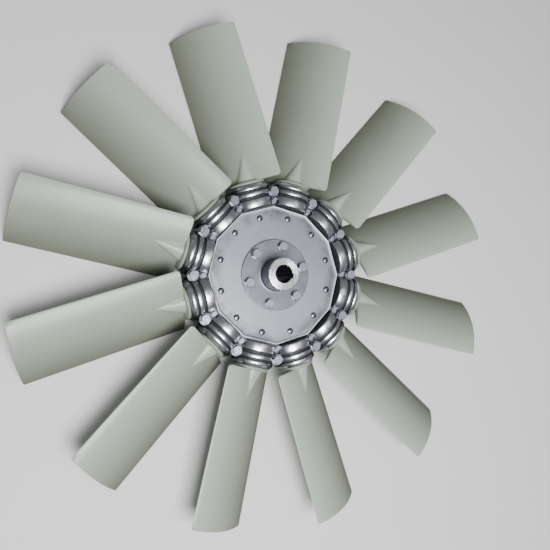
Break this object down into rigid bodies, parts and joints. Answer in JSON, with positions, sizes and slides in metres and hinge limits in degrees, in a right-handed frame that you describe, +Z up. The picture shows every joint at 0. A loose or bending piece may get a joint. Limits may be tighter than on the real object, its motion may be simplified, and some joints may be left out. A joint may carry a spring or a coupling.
{
  "type": "axial fan impeller",
  "caption": "Axial fan impeller whose moulded, twisted blades are clamped by round shanks between two cast hub halves, with a flanged and keyed bushing for a motor shaft.",
  "frame": {"origin": "on the floor, below the shaft axis", "axes": "+Z up the shaft axis, towards the air inlet and the bushing's boss; +Y towards the keyway"},
  "size_m": [1.1198, 1.1198, 0.127],
  "materials": {
    "moulded_nylon": "satin, as moulded",
    "cast_aluminium": "bright die cast",
    "plate_aluminium": "matt",
    "machined_steel": "machined",
    "zinc_steel": "bright zinc plate"
  },
  "bodies": {
    "hub": {"hub_front": "cast_aluminium", "hub_rear": "cast_aluminium", "plate_front": "plate_aluminium", "plate_rear": "plate_aluminium", "bushing": "machined_steel", "clamp_bolt_01": "zinc_steel", "clamp_bolt_02": "zinc_steel", "clamp_bolt_03": "zinc_steel", "clamp_bolt_04": "zinc_steel", "clamp_bolt_05": "zinc_steel", "clamp_bolt_06": "zinc_steel", "clamp_bolt_07": "zinc_steel", "clamp_bolt_08": "zinc_steel", "clamp_bolt_09": "zinc_steel", "clamp_bolt_10": "zinc_steel", "clamp_bolt_11": "zinc_steel", "clamp_bolt_12": "zinc_steel", "flange_bolt_1": "zinc_steel", "flange_bolt_2": "zinc_steel", "flange_bolt_3": "zinc_steel", "flange_bolt_4": "zinc_steel", "flange_bolt_5": "zinc_steel", "flange_bolt_6": "zinc_steel"},
    "blade_01": {"blade_01": "moulded_nylon"},
    "blade_02": {"blade_02": "moulded_nylon"},
    "blade_03": {"blade_03": "moulded_nylon"},
    "blade_04": {"blade_04": "moulded_nylon"},
    "blade_05": {"blade_05": "moulded_nylon"},
    "blade_06": {"blade_06": "moulded_nylon"},
    "blade_07": {"blade_07": "moulded_nylon"},
    "blade_08": {"blade_08": "moulded_nylon"},
    "blade_09": {"blade_09": "moulded_nylon"},
    "blade_10": {"blade_10": "moulded_nylon"},
    "blade_11": {"blade_11": "moulded_nylon"},
    "blade_12": {"blade_12": "moulded_nylon"}
  },
  "joints": [
    {"name": "blade_01_pitch", "type": "hinge", "parent": "hub", "child": "blade_01", "pos_m": [0.19, 0, 0.049], "axis": [1, 0, 0], "range_deg": [-10, 10]},
    {"name": "blade_02_pitch", "type": "hinge", "parent": "hub", "child": "blade_02", "pos_m": [0.16454, 0.095, 0.049], "axis": [0.866, 0.5, 0], "range_deg": [-10, 10]},
    {"name": "blade_03_pitch", "type": "hinge", "parent": "hub", "child": "blade_03", "pos_m": [0.095, 0.16454, 0.049], "axis": [0.5, 0.866, 0], "range_deg": [-10, 10]},
    {"name": "blade_04_pitch", "type": "hinge", "parent": "hub", "child": "blade_04", "pos_m": [0, 0.19, 0.049], "axis": [0, 1, 0], "range_deg": [-10, 10]},
    {"name": "blade_05_pitch", "type": "hinge", "parent": "hub", "child": "blade_05", "pos_m": [-0.095, 0.16454, 0.049], "axis": [-0.5, 0.866, 0], "range_deg": [-10, 10]},
    {"name": "blade_06_pitch", "type": "hinge", "parent": "hub", "child": "blade_06", "pos_m": [-0.16454, 0.095, 0.049], "axis": [-0.866, 0.5, 0], "range_deg": [-10, 10]},
    {"name": "blade_07_pitch", "type": "hinge", "parent": "hub", "child": "blade_07", "pos_m": [-0.19, 0, 0.049], "axis": [-1, 0, 0], "range_deg": [-10, 10]},
    {"name": "blade_08_pitch", "type": "hinge", "parent": "hub", "child": "blade_08", "pos_m": [-0.16454, -0.095, 0.049], "axis": [-0.866, -0.5, 0], "range_deg": [-10, 10]},
    {"name": "blade_09_pitch", "type": "hinge", "parent": "hub", "child": "blade_09", "pos_m": [-0.095, -0.16454, 0.049], "axis": [-0.5, -0.866, 0], "range_deg": [-10, 10]},
    {"name": "blade_10_pitch", "type": "hinge", "parent": "hub", "child": "blade_10", "pos_m": [0, -0.19, 0.049], "axis": [0, -1, 0], "range_deg": [-10, 10]},
    {"name": "blade_11_pitch", "type": "hinge", "parent": "hub", "child": "blade_11", "pos_m": [0.095, -0.16454, 0.049], "axis": [0.5, -0.866, 0], "range_deg": [-10, 10]},
    {"name": "blade_12_pitch", "type": "hinge", "parent": "hub", "child": "blade_12", "pos_m": [0.16454, -0.095, 0.049], "axis": [0.866, -0.5, 0], "range_deg": [-10, 10]}
  ]
}
